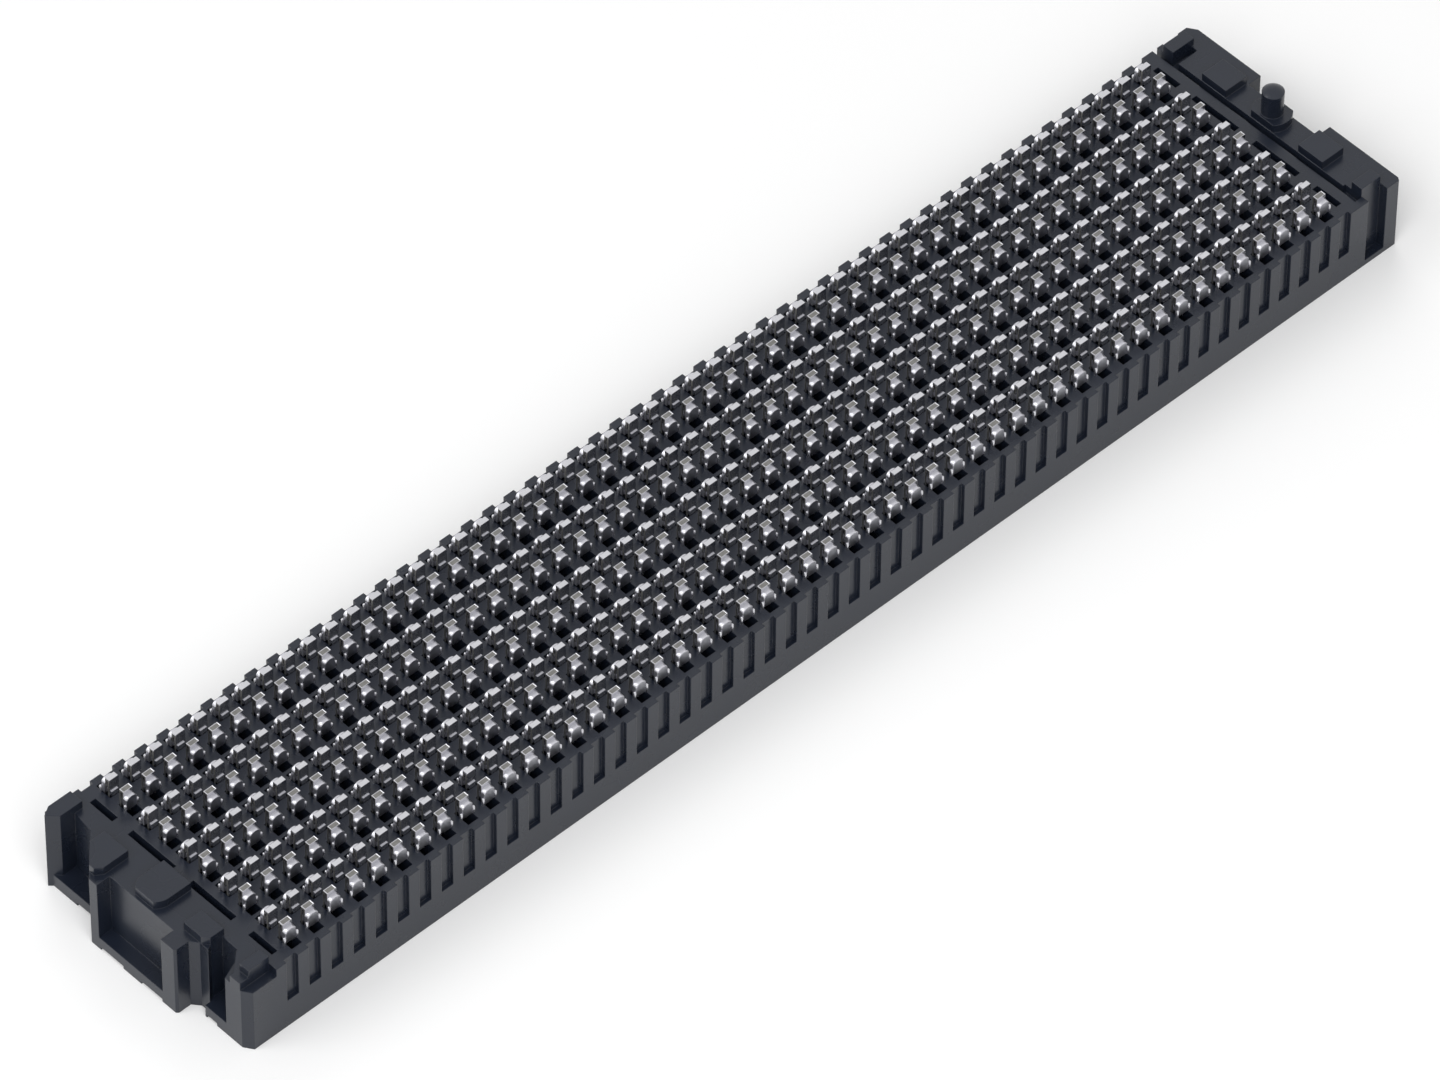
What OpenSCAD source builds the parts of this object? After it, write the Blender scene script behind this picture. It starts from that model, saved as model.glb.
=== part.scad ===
// Board-to-board array connector, lying on its mating face with the solder side up.
// X runs along the length, Y across the width and Z up.
// The origin is the middle of the mating face. The end with the peg points to +X.

/* [Array] */
// Number of contacts in each row
positions = 50; // [12:1:50]
// Height of the housing from the mating face to the face that carries the contacts
body_h = 4.15; // [3.9:0.05:5]
// Width of one contact cavity
cavity_w = 0.58; // [0.56:0.01:0.6]

/* [Side grooves] */
// Width of the upright grooves in the long sides
groove_w = 0.66; // [0.4:0.02:0.8]
// Depth of the upright grooves
groove_d = 0.2; // [0.1:0.02:0.34]
// Height of the upright grooves, measured down from the contact face
groove_h = 2.5; // [1:0.1:2.8]

/* [Stand-offs] */
// Height of the pads that rest on the circuit board, above the contact face
standoff_h = 0.45; // [0.3:0.05:0.6]
// Depth of the channel between the array and the end with the peg
channel_d = 0.45; // [0.3:0.05:0.7]

/* [Alignment peg] */
// Diameter of the peg
peg_d = 1.05; // [0.8:0.05:1.3]
// Height of the peg above the stand-off pads
peg_h = 1.45; // [1:0.05:1.8]
// Diameter of the collar around the foot of the peg
collar_d = 1.9; // [1.6:0.1:2.2]

/* [Contacts] */
// Height of the folded tails above the contact face
tail_h = 1.05; // [1:0.01:1.15]
// Width of the contact strip
strip_w = 0.54; // [0.46:0.01:0.54]
// Thickness of the contact sheet
sheet = 0.1; // [0.08:0.01:0.12]
// Height of the claws that hold the solder charge
claw_h = 0.46; // [0.4:0.01:0.55]
// Height of the solder charge above the contact face
charge_h = 0.85; // [0.75:0.01:0.9]

/* [Hidden] */
$fn = 32;

// Standard spacing of the contacts: single along a row, double between pairs of rows
pitch = 1.27;
pair_pitch = 2.54;
pairs = 5;
half_row = (positions - 1) * pitch / 2;
half_pairs = (pairs - 1) * pair_pitch / 2;

// Outer sizes of the housing, with the two ends measured from the last contact
half_w = 6.66;
core_y = 6.3;
core_x = half_row + 0.6;
wall_x = half_row + 1;
peg_end = half_row + 4.13;
key_end = half_row + 3.98;
column_x = half_row + 3.18;
corner_x = half_row + 3.26;
rib_x = half_row + 2.9;
pocket_x = half_row + 1.98;
// Pieces of the housing run this far into each other
lap = 0.03;

// Levels of the ends, from the mating face up
notch_z = 0.17;
pocket_z = 0.3;
foot_z = 0.72;
hole_z = 1;
gate_z = body_h - 1;
channel_z = body_h - channel_d;
board_z = body_h + standoff_h;

// Half the thickness of the folded tail, and its middle measured from the middle of a pair
tail_t = 0.135;
tail_y = 0.46;
// The cavity reaches this far in front of the tail and behind it
cavity_front = 0.713;
cavity_back = 0.2;
// The claws: place in front of the tail, thickness, outer and inner half width
claw_y = 0.39;
claw_t = 0.11;
claw_x = 0.405;
claw_in = 0.3;
// Outline of the solder charge: front end, behind the claws' front, and radius of its round top
charge_y = 0.31;
charge_r = 0.34;
// The blade of each contact ends this far above the mating face
blade_z = 0.8;

function contact_x(i) = -half_row + i * pitch;
function pair_y(n) = -half_pairs + n * pair_pitch;

module slab(z0, z1) {
    translate([0, 0, z0]) linear_extrude(z1 - z0) children();
}

// Rectangle between two opposite corners
module area(x0, y0, x1, y1) {
    translate([min(x0, x1), min(y0, y1)]) square([abs(x1 - x0), abs(y1 - y0)]);
}

// The same rectangle on both sides of the X axis
module areas(x0, y0, x1, y1) {
    area(x0, y0, x1, y1);
    area(x0, -y0, x1, -y1);
}

// Middle of the housing with one cavity for each contact
module core() {
    linear_extrude(body_h) difference() {
        square([2 * core_x, 2 * core_y], center = true);
        for (n = [0 : pairs - 1], s = [-1, 1], i = [0 : positions - 1])
            translate([contact_x(i), pair_y(n) + s * (tail_y + (cavity_front - cavity_back) / 2)])
                square([cavity_w, cavity_front + cavity_back], center = true);
    }
}

// Long side walls with an upright groove on both sides of each contact
module side_walls() {
    wall = half_w - core_y + lap;
    for (s = [-1, 1]) {
        slab(0, body_h - groove_h) translate([-wall_x, s > 0 ? core_y - lap : -half_w])
            square([2 * wall_x, wall]);
        slab(body_h - groove_h, body_h) difference() {
            translate([-wall_x, s > 0 ? core_y - lap : -half_w]) square([2 * wall_x, wall]);
            for (i = [-1 : positions - 1])
                translate([contact_x(i) + pitch / 2, s * half_w])
                    square([groove_w, 2 * groove_d], center = true);
        }
    }
}

// Oblong holes between the array and an end block
module end_holes() {
    areas(half_row + 0.78, 0.55, half_row + 1.11, 3.3);
    area(half_row + 0.78, 4.3, half_row + 1.11, 5.75);
    area(half_row + 0.78, -4.4, half_row + 1.11, -5.9);
}

module peg_outline() {
    x0 = core_x - lap;
    x1 = wall_x - lap;
    polygon([[x0, -core_y], [x1, -core_y], [x1, -half_w], [peg_end - 0.1, -half_w],
        [peg_end, -half_w + 0.15], [peg_end, -2.2], [half_row + 3.33, -2.2],
        [half_row + 3.33, 2.2], [peg_end, 2.2], [peg_end, half_w - 0.45],
        [peg_end - 0.3, half_w], [x1, half_w], [x1, core_y], [x0, core_y]]);
}

// Wide pockets in the long sides
module peg_pockets() {
    area(half_row + 2.3, half_w - 0.36, half_row + 3.28, half_w + 1);
    area(half_row + 2.08, 0.46 - half_w, half_row + 3.28, -half_w - 1);
}

// End with the alignment peg
module peg_end_block() {
    slab(0, pocket_z) peg_outline();
    slab(pocket_z, hole_z) difference() {
        peg_outline();
        peg_pockets();
    }
    slab(hole_z, gate_z) difference() {
        peg_outline();
        peg_pockets();
        end_holes();
    }
    slab(gate_z, channel_z) difference() {
        peg_outline();
        peg_pockets();
        end_holes();
        area(half_row + 1.64, half_w - 0.6, half_row + 1.95, half_w + 1);
    }
    slab(channel_z, body_h) difference() {
        peg_outline();
        peg_pockets();
        end_holes();
        area(half_row + 1.64, -5.6, half_row + 1.95, half_w + 1);
        area(half_row + 1.64, -5.2, half_row + 2.08, -6.25);
        area(half_row + 1.9, 5.3, half_row + 3.15, 5.65);
    }
    slab(channel_z, board_z) area(half_row + 1.95, 5.65, half_row + 3.28, 6.3);
    slab(channel_z, board_z) area(half_row + 2.08, -5.58, half_row + 3.28, -6.2);
    slab(channel_z, board_z) areas(half_row + 1.98, 2.3, half_row + 3.33, 3.82);
    translate([half_row + 2.625, 0, 0]) {
        slab(channel_z, board_z) intersection() {
            circle(d = collar_d);
            translate([-0.64, -collar_d]) square([1.34, 2 * collar_d]);
        }
        intersection() {
            translate([0, 0, channel_z]) cylinder(h = board_z - channel_z + peg_h, d = peg_d);
            translate([0, 0, board_z + peg_h - 0.8]) sphere(r = 0.8, $fn = 48);
        }
        translate([0, 0, channel_z]) cylinder(h = board_z - channel_z + peg_h - 0.5, d = peg_d);
    }
}

module key_outline() {
    x0 = lap - core_x;
    x1 = lap - wall_x;
    polygon([[x0, core_y], [x1, core_y], [x1, half_w], [-corner_x + 0.4, half_w],
        [-corner_x, half_w - 0.45],
        [-column_x + 0.1, half_w - 0.63], [-column_x + 0.1, 3.54], [-key_end + 0.1, 2.65],
        [-key_end, 2.55], [-key_end, -2.85], [-key_end + 0.1, -2.95], [-rib_x - 0.3, -2.95],
        [-rib_x, -3.32], [-rib_x, -3.86], [-column_x, -3.86], [-column_x, 0.45 - half_w],
        [-column_x + 0.3, -half_w], [x1, -half_w], [x1, -core_y], [x0, -core_y]]);
}

// Pockets beside the keying block, and the recessed panel in its face
module key_pockets() {
    polygon([[-corner_x - 0.3, half_w - 0.15], [-corner_x + 0.48, half_w - 0.93],
        [-pocket_x, half_w - 0.93], [-pocket_x - 0.14, 4.56], [-column_x + 0.1, 3.54],
        [-key_end - 0.5, 3.54], [-key_end - 0.5, half_w - 0.15]]);
    polygon([[-key_end - 0.5, -3.86], [-rib_x, -3.86], [-pocket_x - 0.65, -3.72],
        [-pocket_x, -3.72], [-pocket_x, -4.7], [-column_x, -5.22], [-key_end - 0.5, -5.22]]);
    area(-key_end - 1, -2.05, -key_end + 0.74, 2.05);
}

// Shallow cuts under the outer edge of the keyed end
module key_notches() {
    area(-key_end - 1, 0.5, -key_end + 0.5, 1.95);
    area(-key_end - 1, -0.65, -key_end + 0.5, -2);
    area(-key_end - 1, 3.6, -column_x + 0.5, 4.5);
    area(-key_end - 1, -3.95, -column_x + 0.5, -4.6);
}

// Boss opposite the peg, with a rib behind it
module key_boss() {
    area(-half_row - 1.19, -0.87, -half_row - 2.435, 0.87);
    intersection() {
        translate([-half_row - 2.435, 0]) circle(r = 0.87);
        area(-half_row - 2.4, -1, -half_row - 3.085, 1);
    }
}

// End without a peg, with the keying block between two pockets
module key_end_block() {
    slab(0, notch_z) difference() {
        key_outline();
        key_notches();
    }
    slab(notch_z, foot_z) key_outline();
    slab(foot_z, hole_z) difference() {
        key_outline();
        key_pockets();
    }
    slab(hole_z, channel_z) difference() {
        key_outline();
        key_pockets();
        mirror([1, 0]) end_holes();
    }
    slab(channel_z, body_h) difference() {
        key_outline();
        key_pockets();
        mirror([1, 0]) end_holes();
        area(-key_end, -6.18, -half_row - 1.53, -half_w - 1);
        polygon([[-pocket_x - 0.04, -4.66], [-column_x + 0.25, -5.52], [-key_end, -5.52],
            [-key_end, -5.1]]);
    }
    slab(channel_z, board_z) {
        polygon([[-half_row - 1.53, half_w - 0.93], [-corner_x + 0.48, half_w - 0.93],
            [-corner_x, half_w - 0.45], [-corner_x + 0.47, 6.5], [-half_row - 1.53, 6.5]]);
        area(-half_row - 1.53, -5.62, -half_row - 2.69, -6.18);
        polygon([[-half_row - 1.94, 2.3], [-half_row - 3.345, 2.3], [-half_row - 3.685, 2.55],
            [-half_row - 3.685, 2.84], [-half_row - 2.79, 3.82], [-half_row - 1.94, 3.82]]);
        polygon([[-half_row - 1.86, -2.3], [-half_row - 2.885, -2.3], [-half_row - 2.885, -3.4],
            [-half_row - 2.63, -3.72], [-half_row - 1.86, -3.72]]);
        key_boss();
    }
}

module housing() {
    color([0.2, 0.21, 0.25]) {
        core();
        side_walls();
        peg_end_block();
        key_end_block();
    }
}

// One contact of a front row: folded tail with the blade below it, floor and two claws
module contact() {
    top = body_h + tail_h;
    rotate([90, 0, 90]) translate([0, 0, -strip_w / 2]) linear_extrude(strip_w)
        polygon([[tail_t, blade_z], [tail_t, top], [-tail_t, top], [-tail_t, body_h + claw_h],
            [sheet - tail_t, body_h + claw_h], [sheet - tail_t, top - sheet],
            [tail_t - sheet, top - sheet], [tail_t - sheet, blade_z]]);
    translate([0, claw_t - claw_y, body_h]) rotate([90, 0, 0]) linear_extrude(claw_t)
        polygon([[-claw_x, 0], [claw_x, 0], [claw_x, claw_h], [claw_in, claw_h],
            [claw_in, 0.06], [-claw_in, 0.06], [-claw_in, claw_h], [-claw_x, claw_h]]);
    translate([-0.17, -claw_y + 0.05, body_h]) cube([0.34, claw_y - 0.05 + tail_t - sheet / 2, 0.06]);
}

// One solder charge: round on top, flat where the claws hold it
module charge() {
    translate([0, -tail_t, body_h]) rotate([90, 0, 0]) linear_extrude(charge_y - tail_t) {
        area(-claw_in, 0.06, claw_in, charge_h - charge_r);
        intersection() {
            translate([0, charge_h - charge_r]) circle(r = charge_r);
            area(-claw_in, charge_h - charge_r - 0.05, claw_in, 1);
        }
    }
}

// Row k counts from the near long side; every second row faces the other way
module in_row(k) {
    front = k % 2 == 0;
    for (i = [0 : positions - 1])
        translate([contact_x(i), pair_y(floor(k / 2)) + (front ? -tail_y : tail_y), 0])
            rotate(front ? 0 : 180) children();
}

module contact_row(k) {
    color([0.75, 0.75, 0.72]) in_row(k) contact();
}

module charge_row(k) {
    color([0.55, 0.56, 0.66]) in_row(k) charge();
}

housing();
contact_row(0);  // contact_row_1
contact_row(1);  // contact_row_2
contact_row(2);  // contact_row_3
contact_row(3);  // contact_row_4
contact_row(4);  // contact_row_5
contact_row(5);  // contact_row_6
contact_row(6);  // contact_row_7
contact_row(7);  // contact_row_8
contact_row(8);  // contact_row_9
contact_row(9);  // contact_row_10
charge_row(0);  // solder_charge_row_1
charge_row(1);  // solder_charge_row_2
charge_row(2);  // solder_charge_row_3
charge_row(3);  // solder_charge_row_4
charge_row(4);  // solder_charge_row_5
charge_row(5);  // solder_charge_row_6
charge_row(6);  // solder_charge_row_7
charge_row(7);  // solder_charge_row_8
charge_row(8);  // solder_charge_row_9
charge_row(9);  // solder_charge_row_10
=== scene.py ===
"""Looks of a board-to-board array connector: solder side up, resting on its mating face.

The housing keeps its solid and gets its finish. The rows of contacts and of solder charges are
modelled again with rounded edges, each from one pattern that is copied along its row.
"""

import logging
import math
from dataclasses import dataclass
from enum import Enum
from typing import Callable

import bmesh
import bpy
from mathutils import Euler, Matrix, Vector


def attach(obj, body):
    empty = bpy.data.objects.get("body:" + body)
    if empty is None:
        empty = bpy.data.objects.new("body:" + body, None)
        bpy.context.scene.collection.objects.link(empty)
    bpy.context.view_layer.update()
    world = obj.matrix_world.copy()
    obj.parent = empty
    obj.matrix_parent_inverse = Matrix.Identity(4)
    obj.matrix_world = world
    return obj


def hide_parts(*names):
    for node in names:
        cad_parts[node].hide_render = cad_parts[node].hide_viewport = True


# One millimetre, and the distance below which two points are one, both in metres
MM = 0.001
SMALLEST = 1e-6
# Distance in metres at which a cut counts a vertex as lying on it
CUT_MARGIN = 1e-8
# How far from its expected place a face or an edge may be picked, in millimetres
NEAR_BY = 0.001
# Least part of a normal along an axis, for a face that points that way roughly or exactly
TOWARDS = 0.9
SQUARE_ON = 0.99
# Largest angle in degrees between faces that count as one plane
ONE_PLANE = 1.0
log = logging.getLogger("connector")

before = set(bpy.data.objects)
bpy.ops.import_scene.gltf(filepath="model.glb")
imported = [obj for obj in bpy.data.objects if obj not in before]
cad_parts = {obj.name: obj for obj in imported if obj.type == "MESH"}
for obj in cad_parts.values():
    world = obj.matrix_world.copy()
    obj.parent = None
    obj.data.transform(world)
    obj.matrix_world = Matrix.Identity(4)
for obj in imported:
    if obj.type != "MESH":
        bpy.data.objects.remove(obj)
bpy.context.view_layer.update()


class Facing(Enum):
    """Which way the contacts of a row face: the charge towards -Y or towards +Y."""

    NEAR = "near"
    FAR = "far"


class TailTop(Enum):
    """How the top of a contact tail looks."""

    DISHED = "dished"
    FOLDED = "folded"


# ---- small helpers for modelling as by hand


def clear_selection() -> None:
    """Deselects every object."""
    bpy.ops.object.select_all(action="DESELECT")


def add_block(
    low: tuple[float, float, float], high: tuple[float, float, float]
) -> bpy.types.Object:
    """Adds a box between two corners and leaves it in edit mode, with nothing selected.

    Args:
        low: Lowest corner in millimetres.
        high: Highest corner in millimetres.

    Returns:
        The new object, with its place in its mesh.
    """
    clear_selection()
    middle = [(a + b) / 2 * MM for a, b in zip(low, high)]
    bpy.ops.mesh.primitive_cube_add(size=1, location=middle)
    block = bpy.context.object
    block.scale = [(b - a) * MM for a, b in zip(low, high)]
    bpy.ops.object.transform_apply(location=True, rotation=True, scale=True)
    bpy.ops.object.mode_set(mode="EDIT")
    bpy.ops.mesh.select_all(action="DESELECT")
    return block


def cut(axis: str, at: float, clear_outer: bool = False, clear_inner: bool = False) -> None:
    """Cuts the mesh in edit mode across one axis.

    Args:
        axis: Name of the axis that the cut stands across.
        at: Place of the cut on that axis, in millimetres.
        clear_outer: Removes what lies beyond the cut and closes the hole.
        clear_inner: Removes what lies before the cut and closes the hole.
    """
    normal = Vector([1.0 if name == axis else 0.0 for name in "xyz"])
    bpy.ops.mesh.select_mode(type="FACE")
    bpy.ops.mesh.select_all(action="SELECT")
    bpy.ops.mesh.bisect(
        plane_co=normal * at * MM,
        plane_no=normal,
        threshold=CUT_MARGIN,
        use_fill=clear_outer or clear_inner,
        clear_outer=clear_outer,
        clear_inner=clear_inner,
    )
    bpy.ops.mesh.select_all(action="DESELECT")


def pick_faces(block: bpy.types.Object, test: Callable[[Vector, Vector], bool]) -> None:
    """Selects the faces that pass a test, and only these.

    Args:
        block: The object in edit mode.
        test: Takes a face's centre in millimetres and its normal.
    """
    bpy.ops.mesh.select_mode(type="FACE")
    bpy.ops.mesh.select_all(action="DESELECT")
    mesh = bmesh.from_edit_mesh(block.data)
    for face in mesh.faces:
        if test(face.calc_center_median() / MM, face.normal):
            face.select_set(True)
    bmesh.update_edit_mesh(block.data)


def pick_edges(block: bpy.types.Object, test: Callable[[Vector], bool]) -> None:
    """Selects the edges that pass a test, and only these.

    Args:
        block: The object in edit mode.
        test: Takes an edge's middle in millimetres.
    """
    bpy.ops.mesh.select_mode(type="EDGE")
    bpy.ops.mesh.select_all(action="DESELECT")
    mesh = bmesh.from_edit_mesh(block.data)
    for edge in mesh.edges:
        a, b = edge.verts[0].co / MM, edge.verts[1].co / MM
        if test((a + b) / 2):
            edge.select_set(True)
    bmesh.update_edit_mesh(block.data)


def extrude(y: float = 0.0, z: float = 0.0) -> None:
    """Extrudes the selected faces by a step in millimetres."""
    bpy.ops.mesh.extrude_region_move(TRANSFORM_OT_translate={"value": (0.0, y * MM, z * MM)})


def bevel(width: float, segments: int = 1) -> None:
    """Rounds the selected edges and removes the faces without area that a wide bevel leaves.

    Args:
        width: Width of the bevel in millimetres.
        segments: Number of steps across it.
    """
    bpy.ops.mesh.bevel(offset=width * MM, segments=segments, affect="EDGES", clamp_overlap=True)
    bpy.ops.mesh.select_all(action="SELECT")
    bpy.ops.mesh.remove_doubles(threshold=SMALLEST)
    bpy.ops.mesh.dissolve_degenerate(threshold=SMALLEST)


def merge_flat() -> None:
    """Merges the selected faces that lie in one plane, so a copied shape has few faces."""
    bpy.ops.mesh.dissolve_limited(angle_limit=math.radians(ONE_PLANE))


def leave_edit() -> None:
    """Ends edit mode with outward normals."""
    bpy.ops.mesh.select_all(action="SELECT")
    bpy.ops.mesh.normals_make_consistent(inside=False)
    bpy.ops.object.mode_set(mode="OBJECT")


def join(parts: list[bpy.types.Object], name: str) -> bpy.types.Object:
    """Joins objects into one.

    Args:
        parts: The objects, of which the first one stays.
        name: Name of the result.

    Returns:
        The joined object.
    """
    clear_selection()
    for part in parts:
        part.select_set(True)
    bpy.context.view_layer.objects.active = parts[0]
    bpy.ops.object.join()
    parts[0].name = name
    return parts[0]


def smooth(piece: bpy.types.Object, angle: float) -> None:
    """Shades a piece smooth where its faces meet at a small angle.

    Args:
        piece: The object to shade.
        angle: Largest angle in degrees that is shaded smooth.
    """
    clear_selection()
    piece.select_set(True)
    bpy.context.view_layer.objects.active = piece
    bpy.ops.object.shade_smooth_by_angle(angle=math.radians(angle))


# ---- finishes

# The noise of both masks: its number of octaves, and how strong each next one is
NOISE_DETAIL = 3.0
NOISE_ROUGHNESS = 0.55
# Values of the broad mask at which a finish has its lowest and its highest roughness
MASK_LOW = 0.3
MASK_HIGH = 0.7
# Height of the grain in millimetres at full strength
GRAIN_HEIGHT = 0.01
# Rays that find the rounded edges of a moulding
EDGE_SAMPLES = 6


def socket_value(node: bpy.types.Node, name: str, value: object) -> None:
    """Sets the value of one input socket."""
    node.inputs[name].default_value = value


def make_speckle_group() -> bpy.types.NodeTree:
    """Builds the shared speckle: two sizes of noise in Object coordinates.

    Returns:
        The node group, with a fine mask and a broad mask as outputs.
    """
    tree = bpy.data.node_groups.new("speckle", "ShaderNodeTree")
    sizes = ("Fine", "Broad")
    for size in sizes:
        tree.interface.new_socket(
            name=f"{size} Scale", in_out="INPUT", socket_type="NodeSocketFloat"
        )
        tree.interface.new_socket(name=size, in_out="OUTPUT", socket_type="NodeSocketFloat")
    start = tree.nodes.new("NodeGroupInput")
    end = tree.nodes.new("NodeGroupOutput")
    place = tree.nodes.new("ShaderNodeTexCoord")
    for size in sizes:
        noise = tree.nodes.new("ShaderNodeTexNoise")
        socket_value(noise, "Detail", NOISE_DETAIL)
        socket_value(noise, "Roughness", NOISE_ROUGHNESS)
        tree.links.new(place.outputs["Object"], noise.inputs["Vector"])
        tree.links.new(start.outputs[f"{size} Scale"], noise.inputs["Scale"])
        tree.links.new(noise.outputs["Fac"], end.inputs[size])
    return tree


@dataclass(frozen=True)
class Finish:
    """One surface finish, made from the shared speckle and one Principled shader.

    The colours are linear, and edge_round is a radius in millimetres.
    """

    name: str
    dark: tuple[float, float, float]
    light: tuple[float, float, float]
    metallic: float
    rough_low: float
    rough_high: float
    grain: float
    fine_scale: float
    broad_scale: float
    edge_round: float = 0.0
    specular: float = 0.5

    def build(self, speckle: bpy.types.NodeTree) -> bpy.types.Material:
        """Builds the material.

        Args:
            speckle: The shared node group.

        Returns:
            The material, with colour, roughness and grain from its nodes.
        """
        material = bpy.data.materials.new(self.name)
        material.use_nodes = True
        tree = material.node_tree
        shader = tree.nodes["Principled BSDF"]
        socket_value(shader, "Metallic", self.metallic)
        socket_value(shader, "Specular IOR Level", self.specular)
        masks = tree.nodes.new("ShaderNodeGroup")
        masks.node_tree = speckle
        socket_value(masks, "Fine Scale", self.fine_scale)
        socket_value(masks, "Broad Scale", self.broad_scale)
        self.add_colour(tree, masks, shader)
        self.add_roughness(tree, masks, shader)
        self.add_grain(tree, masks, shader)
        return material

    def add_colour(
        self, tree: bpy.types.NodeTree, masks: bpy.types.Node, shader: bpy.types.Node
    ) -> None:
        """Mixes the dark and the light colour by the broad mask.

        Args:
            tree: The nodes of the material.
            masks: The speckle in it.
            shader: Its Principled shader.
        """
        colour = tree.nodes.new("ShaderNodeMix")
        colour.data_type = "RGBA"
        colour.inputs["A"].default_value = (*self.dark, 1.0)
        colour.inputs["B"].default_value = (*self.light, 1.0)
        tree.links.new(masks.outputs["Broad"], colour.inputs["Factor"])
        tree.links.new(colour.outputs["Result"], shader.inputs["Base Color"])

    def add_roughness(
        self, tree: bpy.types.NodeTree, masks: bpy.types.Node, shader: bpy.types.Node
    ) -> None:
        """Varies the roughness with the broad mask.

        Args:
            tree: The nodes of the material.
            masks: The speckle in it.
            shader: Its Principled shader.
        """
        rough = tree.nodes.new("ShaderNodeMapRange")
        socket_value(rough, "From Min", MASK_LOW)
        socket_value(rough, "From Max", MASK_HIGH)
        socket_value(rough, "To Min", self.rough_low)
        socket_value(rough, "To Max", self.rough_high)
        tree.links.new(masks.outputs["Broad"], rough.inputs["Value"])
        tree.links.new(rough.outputs["Result"], shader.inputs["Roughness"])

    def add_grain(
        self, tree: bpy.types.NodeTree, masks: bpy.types.Node, shader: bpy.types.Node
    ) -> None:
        """Turns the fine mask into a grain, on edges that look slightly rounded.

        Args:
            tree: The nodes of the material.
            masks: The speckle in it.
            shader: Its Principled shader.
        """
        bump = tree.nodes.new("ShaderNodeBump")
        socket_value(bump, "Strength", self.grain)
        socket_value(bump, "Distance", GRAIN_HEIGHT * MM)
        tree.links.new(masks.outputs["Fine"], bump.inputs["Height"])
        if self.edge_round > 0.0:
            edge = tree.nodes.new("ShaderNodeBevel")
            edge.samples = EDGE_SAMPLES
            socket_value(edge, "Radius", self.edge_round * MM)
            tree.links.new(edge.outputs["Normal"], bump.inputs["Normal"])
        tree.links.new(bump.outputs["Normal"], shader.inputs["Normal"])


PLASTIC = Finish(
    name="moulded_plastic",
    dark=(0.009, 0.012, 0.020),
    light=(0.012, 0.016, 0.027),
    metallic=0.0,
    rough_low=0.24,
    rough_high=0.32,
    grain=0.25,
    fine_scale=9000.0,
    broad_scale=400.0,
    edge_round=0.05,
    specular=0.45,
)
TIN = Finish(
    name="tin_plate",
    dark=(0.56, 0.56, 0.59),
    light=(0.68, 0.68, 0.71),
    metallic=1.0,
    rough_low=0.2,
    rough_high=0.3,
    grain=0.15,
    fine_scale=12000.0,
    broad_scale=900.0,
)
# The sheared edges of the sheet really have this darker colour. In the dish on top of the near
# tails, the same darker metal is painted shade.
SHEARED_AND_DISH_SHADE = Finish(
    name="sheared_copper_alloy_and_dish_shade",
    dark=(0.15, 0.147, 0.14),
    light=(0.30, 0.296, 0.286),
    metallic=1.0,
    rough_low=0.42,
    rough_high=0.55,
    grain=0.4,
    fine_scale=12000.0,
    broad_scale=6000.0,
)
SOLDER = Finish(
    name="solder_alloy",
    dark=(0.54, 0.54, 0.58),
    light=(0.64, 0.64, 0.68),
    metallic=1.0,
    rough_low=0.3,
    rough_high=0.42,
    grain=0.3,
    fine_scale=12000.0,
    broad_scale=900.0,
)


def dress(piece: bpy.types.Object, material: bpy.types.Material) -> None:
    """Gives a piece one material, in the slots it has or in a new one.

    Args:
        piece: The object to dress.
        material: Its material.
    """
    if piece.material_slots:
        for place in piece.material_slots:
            place.material = material
    else:
        piece.data.materials.append(material)


# ---- the connector


@dataclass
class Grid:
    """Places of the contacts, in millimetres, as in the part's source."""

    pitch: float = 1.27
    positions: int = 50
    pair_pitch: float = 2.54
    pairs: int = 5
    tail_y: float = 0.46

    def first_x(self) -> float:
        """Place of the first contact of a row."""
        return -(self.positions - 1) * self.pitch / 2

    def row_y(self, row: int) -> float:
        """Place across the width of a row, counted from 0 at the near side."""
        middle = -(self.pairs - 1) * self.pair_pitch / 2 + (row // 2) * self.pair_pitch
        return middle + (-self.tail_y if row % 2 == 0 else self.tail_y)

    def facing(self, row: int) -> Facing:
        """Which way the contacts of a row face."""
        return Facing.NEAR if row % 2 == 0 else Facing.FAR

    def lay_out(self, pattern: bpy.types.Object, row: int, name: str) -> bpy.types.Object:
        """Copies a pattern along one row.

        Args:
            pattern: The shape of one contact or charge, facing -Y at the origin.
            row: Row number from 0.
            name: Name of the new piece.

        Returns:
            The row as one piece at the origin.
        """
        clear_selection()
        piece = pattern.copy()
        piece.data = pattern.data.copy()
        piece.name = name
        piece.data.name = name
        bpy.context.collection.objects.link(piece)
        turn = Matrix.Rotation(0.0 if self.facing(row) is Facing.NEAR else math.pi, 4, "Z")
        move = Matrix.Translation((self.first_x() * MM, self.row_y(row) * MM, 0.0))
        piece.data.transform(move @ turn)
        piece.select_set(True)
        bpy.context.view_layer.objects.active = piece
        array = piece.modifiers.new("row", "ARRAY")
        array.use_relative_offset = False
        array.use_constant_offset = True
        array.constant_offset_displace = (self.pitch * MM, 0.0, 0.0)
        array.count = self.positions
        bpy.ops.object.modifier_apply(modifier=array.name)
        return piece


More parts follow.
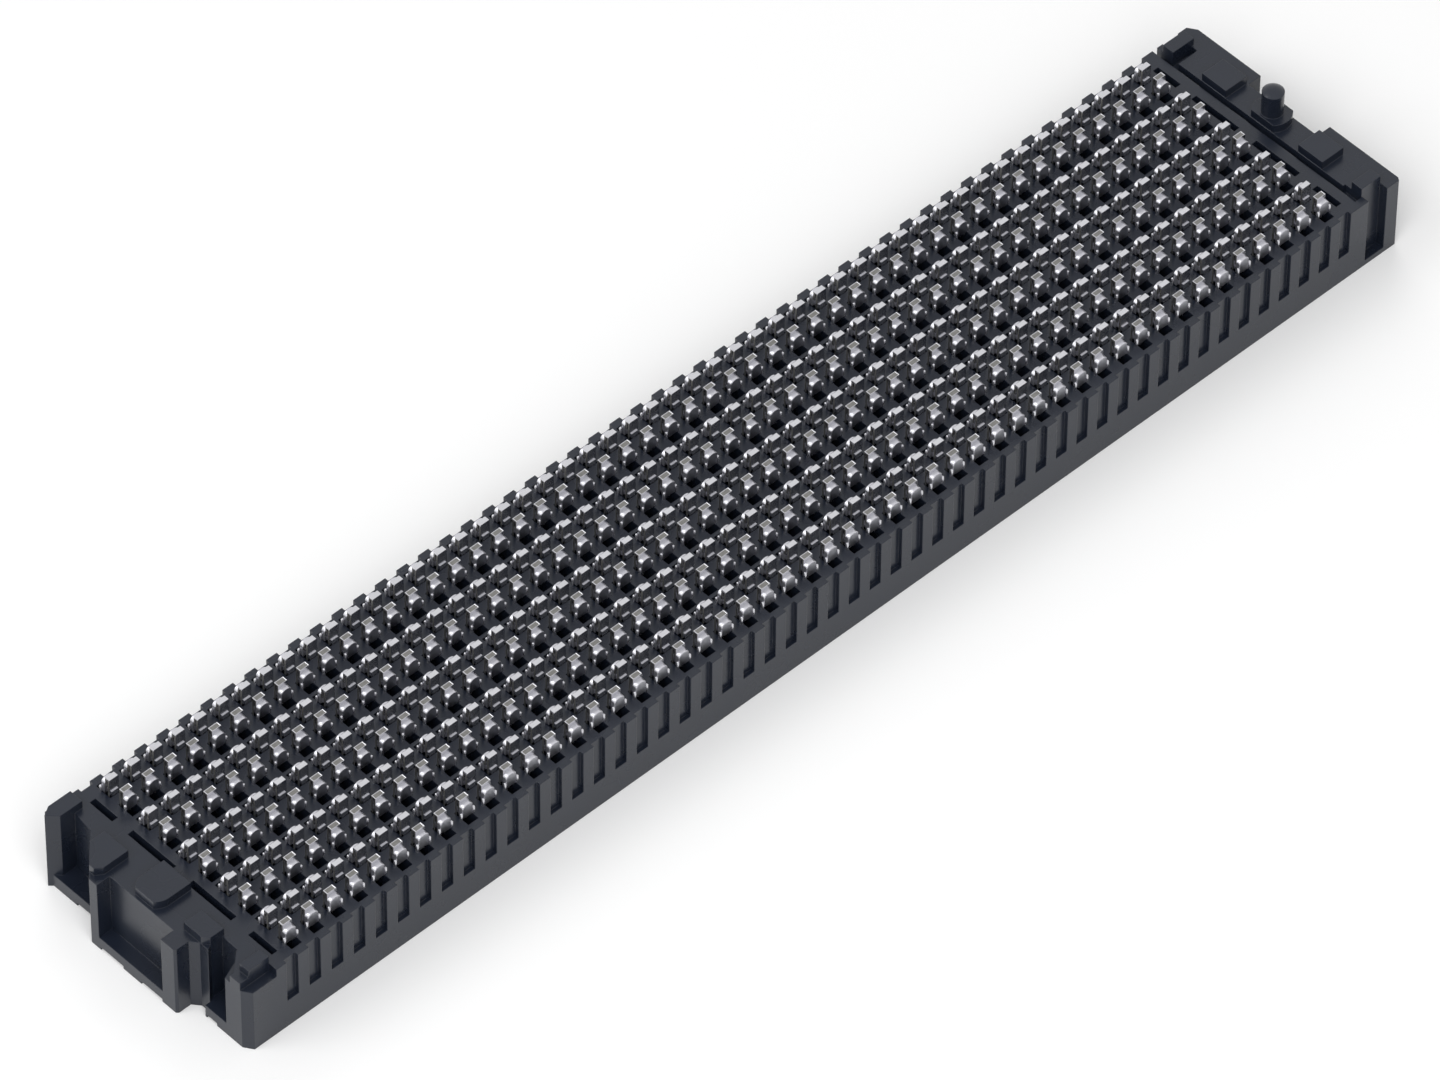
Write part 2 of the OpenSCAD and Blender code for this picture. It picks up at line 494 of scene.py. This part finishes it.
@dataclass
class Contacts:
    """The folded contacts: tail, blade, ledge, floor and claws. Sizes in millimetres."""

    grid: Grid
    # The tail, which stands on the contact face and ends in the blade below it
    face_z: float = 4.15
    blade_z: float = 0.8
    top_z: float = 5.2
    half_width: float = 0.27
    half_depth: float = 0.135
    sheet: float = 0.1
    # Rounding of the two ends and of the two long edges of its top
    folded_rounds: tuple[float, float] = (0.1, 0.035)
    dished_rounds: tuple[float, float] = (0.035, 0.025)
    end_steps: int = 2
    dish_rim: float = 0.02
    dish_depth: float = 0.012
    tail_smooth: float = 24.0
    # The claws: front, thickness, outer and inner half width, height, and rounding of the tip
    claw_y: float = 0.39
    claw_t: float = 0.11
    claw_x: float = 0.405
    claw_in: float = 0.3
    claw_h: float = 0.46
    claw_round: float = 0.04
    claw_smooth: float = 60.0
    # The floor between the claws, and half the width of its strip to the tail
    floor_back: float = 0.03
    floor_t: float = 0.06
    strip_half: float = 0.17
    # The ledge on the back of the blade: half width, lower end, height, depth and overlap
    ledge_half: float = 0.19
    ledge_z: float = 3.6
    ledge_h: float = 0.29
    ledge_out: float = 0.055
    ledge_lap: float = 0.02

    def model_tail(
        self, top: TailTop, plate: bpy.types.Material, bare_and_dish_shade: bpy.types.Material
    ) -> bpy.types.Object:
        """Models the folded tail and the blade below it.

        Args:
            top: How the top of the tail looks.
            plate: The finish of the contact.
            bare_and_dish_shade: The finish of the sheared sides, and of a dished top, where its
                darker colour is painted shade.

        Returns:
            The tail, with its charge side towards -Y.
        """
        leg = self.half_depth - self.sheet
        fold_z = self.top_z - self.sheet
        low = (-self.half_width, -self.half_depth, fold_z)
        tail = add_block(low, (self.half_width, self.half_depth, self.top_z))
        dress(tail, plate)
        cut("y", leg)
        cut("y", -leg)
        pick_faces(tail, lambda c, n: n.z < -TOWARDS and c.y < -leg)
        extrude(z=-(fold_z - self.face_z - self.claw_h))
        pick_faces(tail, lambda c, n: n.z < -TOWARDS and c.y > leg)
        extrude(z=-(fold_z - self.blade_z))
        pick_faces(tail, lambda c, n: n.z > -TOWARDS and c.z > fold_z)
        merge_flat()

        top_z = self.top_z - NEAR_BY
        end_x = self.half_width - NEAR_BY
        side_y = self.half_depth - NEAR_BY
        rounds = self.folded_rounds if top is TailTop.FOLDED else self.dished_rounds
        end_round, side_round = rounds
        pick_edges(tail, lambda m: m.z > top_z and abs(m.x) > end_x)
        bevel(end_round, self.end_steps)
        pick_edges(tail, lambda m: m.z > top_z and abs(m.y) > side_y)
        bevel(side_round)

        tail.data.materials.append(bare_and_dish_shade)
        tail.active_material_index = 1
        pick_faces(tail, lambda c, n: abs(n.x) > SQUARE_ON)
        bpy.ops.object.material_slot_assign()
        # The dish is a real shallow hollow, but the darker metal put into it is painted shade: a
        # darker centre on the top of the tail.
        if top is TailTop.DISHED:
            pick_faces(tail, lambda c, n: n.z > SQUARE_ON and c.z > top_z)
            bpy.ops.mesh.inset(thickness=self.dish_rim * MM, depth=-self.dish_depth * MM)
            bpy.ops.object.material_slot_assign()
        leave_edit()
        smooth(tail, self.tail_smooth)
        return tail

    def model_ledge(self) -> bpy.types.Object:
        """Models the coined step on the back of the blade, where it enters its cavity.

        Returns:
            The step.
        """
        back = self.half_depth
        ledge = add_block(
            (-self.ledge_half, back - self.ledge_lap, self.ledge_z),
            (self.ledge_half, back + self.ledge_out, self.face_z + self.ledge_h),
        )
        leave_edit()
        return ledge

    def model_claw(self, side: int) -> bpy.types.Object:
        """Models one of the two claws that grip the charge.

        Args:
            side: -1 or 1, for the sign of the claw's X.

        Returns:
            The claw, with a rounded tip.
        """
        middle = side * (self.claw_x + self.claw_in) / 2
        half = (self.claw_x - self.claw_in) / 2
        tip = self.face_z + self.claw_h
        low = (middle - half, -self.claw_y, self.face_z)
        claw = add_block(low, (middle + half, self.claw_t - self.claw_y, tip))
        pick_edges(claw, lambda m: m.z > tip - NEAR_BY)
        bevel(self.claw_round)
        leave_edit()
        smooth(claw, self.claw_smooth)
        return claw

    def model_floor(self) -> bpy.types.Object:
        """Models the floor between the claws, with the strip that joins it to the tail.

        Returns:
            The floor and its strip.
        """
        back = self.claw_t - self.claw_y
        low = (-self.claw_in, self.floor_back - self.claw_y, self.face_z)
        floor = add_block(low, (self.claw_in, back, self.face_z + self.floor_t))
        cut("x", self.strip_half)
        cut("x", -self.strip_half)
        pick_faces(floor, lambda c, n: n.y > TOWARDS and abs(c.x) < self.strip_half)
        extrude(y=self.half_depth - self.sheet / 2 - back)
        bpy.ops.mesh.select_all(action="SELECT")
        merge_flat()
        leave_edit()
        return floor

    def model(
        self, top: TailTop, plate: bpy.types.Material, bare_and_dish_shade: bpy.types.Material
    ) -> bpy.types.Object:
        """Models one contact.

        Args:
            top: How the top of its tail looks.
            plate: The finish of the contact.
            bare_and_dish_shade: The finish of its sheared faces, and the painted shade in the
                dish of a dished top.

        Returns:
            The contact as one object, facing -Y at the origin.
        """
        parts = [self.model_ledge(), self.model_claw(-1), self.model_claw(1), self.model_floor()]
        for part in parts:
            dress(part, plate)
        return join([self.model_tail(top, plate, bare_and_dish_shade), *parts], f"contact_{top.value}")

    def build(self, plate: bpy.types.Material, bare_and_dish_shade: bpy.types.Material) -> None:
        """Builds all rows and puts them in the place of the solids.

        Args:
            plate: The finish of the contacts.
            bare_and_dish_shade: The finish of their sheared faces, and the painted shade in the
                dishes of the dished tops.
        """
        patterns = {
            Facing.NEAR: self.model(TailTop.DISHED, plate, bare_and_dish_shade),
            Facing.FAR: self.model(TailTop.FOLDED, plate, bare_and_dish_shade),
        }
        for row in range(2 * self.grid.pairs):
            node = f"contact_row_{row + 1}"
            pattern = patterns[self.grid.facing(row)]
            piece = self.grid.lay_out(pattern, row, f"folded_{node}")
            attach(piece, "root")
            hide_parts(node)
            log.info("%s: %d faces", piece.name, len(piece.data.polygons))
        for pattern in patterns.values():
            bpy.data.objects.remove(pattern)


@dataclass
class SolderCharges:
    """The solder charges in the claws. Sizes in millimetres."""

    grid: Grid
    face_z: float = 4.15
    height: float = 0.85
    radius: float = 0.34
    facets: int = 24
    front: float = 0.362
    back: float = 0.135
    half_width: float = 0.3
    # Height of the foot above the contact face, where the floor of the contact carries it
    foot: float = 0.06
    front_round: float = 0.03
    smooth_below: float = 30.0

    def model(self) -> bpy.types.Object:
        """Models one charge: a round top across the row, straight sides and a flat foot.

        Returns:
            The charge, facing -Y at the origin.
        """
        middle_y = -(self.front + self.back) / 2
        middle_z = self.face_z + self.height - self.radius
        clear_selection()
        bpy.ops.mesh.primitive_cylinder_add(
            vertices=self.facets,
            radius=self.radius * MM,
            depth=(self.front - self.back) * MM,
            location=(0, middle_y * MM, middle_z * MM),
            rotation=(math.pi / 2, 0, 0),
        )
        charge = bpy.context.object
        bpy.ops.object.transform_apply(location=True, rotation=True, scale=True)
        bpy.ops.object.mode_set(mode="EDIT")
        cut("x", self.half_width, clear_outer=True)
        cut("x", -self.half_width, clear_inner=True)
        cut("z", middle_z, clear_inner=True)
        pick_faces(charge, lambda c, n: n.z < -TOWARDS)
        extrude(z=self.radius + self.foot - self.height)
        foot_z = self.face_z + self.foot + NEAR_BY
        pick_edges(charge, lambda m: m.y < -self.front + NEAR_BY and m.z > foot_z)
        bevel(self.front_round)
        leave_edit()
        return charge

    def build(self, material: bpy.types.Material) -> None:
        """Builds all rows and puts them in the place of the solids.

        Args:
            material: The finish of the charges.
        """
        pattern = self.model()
        dress(pattern, material)
        smooth(pattern, self.smooth_below)
        for row in range(2 * self.grid.pairs):
            node = f"solder_charge_row_{row + 1}"
            piece = self.grid.lay_out(pattern, row, f"rounded_{node}")
            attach(piece, "root")
            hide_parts(node)
            log.info("%s: %d faces", piece.name, len(piece.data.polygons))
        bpy.data.objects.remove(pattern)


@dataclass
class Housing:
    """The moulded housing, which keeps the shape of its solid."""

    node: str = "housing"

    def build(self, material: bpy.types.Material) -> None:
        """Dresses the housing.

        Args:
            material: The finish of the moulding.
        """
        dress(bpy.data.objects[self.node], material)
        log.info("%s dressed", self.node)


# ---- studio


@dataclass(frozen=True)
class Lamp:
    """One square soft lamp that points at the origin, in metres and watts."""

    name: str
    place: tuple[float, float, float]
    width: float
    power: float
    in_reflections: bool

    def hang(self) -> None:
        """Adds the lamp to the scene."""
        data = bpy.data.lights.new(self.name, "AREA")
        data.size = self.width
        data.energy = self.power
        lamp = bpy.data.objects.new(self.name, data)
        lamp.location = self.place
        lamp.visible_glossy = self.in_reflections
        lamp.rotation_euler = (-Vector(self.place)).to_track_quat("-Z", "Y").to_euler()
        bpy.context.collection.objects.link(lamp)


@dataclass
class Studio:
    """Pale floor, white surroundings, soft lamps and the photograph's camera."""

    # The camera: place in metres, turn in degrees, focal length and sensor in millimetres
    location: tuple[float, float, float] = (-0.2448, -0.2543, 0.3917)
    turn: tuple[float, float, float] = (42.110, -0.397, -43.411)
    lens: float = 299.13
    sensor: float = 36.0
    clip: tuple[float, float] = (0.01, 20.0)
    # The floor: colour, roughness, width, and how far below the mating face it lies
    floor_colour: tuple[float, float, float] = (0.98, 0.98, 0.98)
    floor_roughness: float = 0.8
    floor_width: float = 4.0
    floor_drop: float = 0.00002
    # Strength of the surroundings: as a light, and as they are seen and mirrored
    fill: float = 0.35
    white: float = 1.0
    # The key lamp stands on the camera's side, so it also reaches into the cavities
    lamps: tuple[Lamp, ...] = (
        Lamp("key_lamp", (-0.30, -0.31, 0.52), width=0.6, power=3.7, in_reflections=False),
        Lamp("rim_lamp", (0.35, 0.45, 0.45), width=0.35, power=0.6, in_reflections=False),
        Lamp("side_lamp", (-0.45, 0.20, 0.42), width=0.35, power=1.0, in_reflections=True),
    )

    def camera(self) -> None:
        """Places the camera as in the photograph."""
        data = bpy.data.cameras.new("photo_camera")
        data.lens = self.lens
        data.sensor_width = self.sensor
        data.clip_start, data.clip_end = self.clip
        camera = bpy.data.objects.new("photo_camera", data)
        camera.location = self.location
        camera.rotation_euler = Euler([math.radians(a) for a in self.turn], "XYZ")
        bpy.context.collection.objects.link(camera)
        bpy.context.scene.camera = camera

    def surroundings(self) -> None:
        """Makes the world white to the eye and in reflections, and dimmer as a light."""
        world = bpy.data.worlds.new("studio")
        bpy.context.scene.world = world
        world.use_nodes = True
        tree = world.node_tree
        tree.nodes.clear()
        rays = tree.nodes.new("ShaderNodeLightPath")
        seen = tree.nodes.new("ShaderNodeMath")
        seen.operation = "MAXIMUM"
        through = tree.nodes.new("ShaderNodeMath")
        through.operation = "MAXIMUM"
        tree.links.new(rays.outputs["Is Camera Ray"], seen.inputs[0])
        tree.links.new(rays.outputs["Is Glossy Ray"], seen.inputs[1])
        tree.links.new(seen.outputs[0], through.inputs[0])
        tree.links.new(rays.outputs["Is Transmission Ray"], through.inputs[1])
        dim = tree.nodes.new("ShaderNodeBackground")
        socket_value(dim, "Color", (1.0, 1.0, 1.0, 1.0))
        socket_value(dim, "Strength", self.fill)
        white = tree.nodes.new("ShaderNodeBackground")
        socket_value(white, "Color", (1.0, 1.0, 1.0, 1.0))
        socket_value(white, "Strength", self.white)
        mix = tree.nodes.new("ShaderNodeMixShader")
        out = tree.nodes.new("ShaderNodeOutputWorld")
        tree.links.new(through.outputs[0], mix.inputs["Fac"])
        tree.links.new(dim.outputs[0], mix.inputs[1])
        tree.links.new(white.outputs[0], mix.inputs[2])
        tree.links.new(mix.outputs[0], out.inputs["Surface"])

    def floor(self) -> None:
        """Lays a pale floor that keeps the shadow of the connector."""
        clear_selection()
        bpy.ops.mesh.primitive_plane_add(size=self.floor_width, location=(0, 0, -self.floor_drop))
        floor = bpy.context.object
        floor.name = "floor"
        material = bpy.data.materials.new("pale_floor")
        material.use_nodes = True
        shader = material.node_tree.nodes["Principled BSDF"]
        socket_value(shader, "Base Color", (*self.floor_colour, 1.0))
        socket_value(shader, "Roughness", self.floor_roughness)
        floor.data.materials.append(material)

    def build(self) -> None:
        """Sets up camera, surroundings, floor and lamps."""
        self.camera()
        self.surroundings()
        self.floor()
        for lamp in self.lamps:
            lamp.hang()
        bpy.context.scene.view_settings.view_transform = "Standard"


def main() -> None:
    """Builds the studio and the connector in order."""
    logging.basicConfig(level=logging.INFO, format="%(name)s: %(message)s")
    Studio().build()
    speckle = make_speckle_group()
    grid = Grid()
    Housing().build(PLASTIC.build(speckle))
    Contacts(grid).build(TIN.build(speckle), SHEARED_AND_DISH_SHADE.build(speckle))
    SolderCharges(grid).build(SOLDER.build(speckle))


if __name__ == "__main__":
    main()
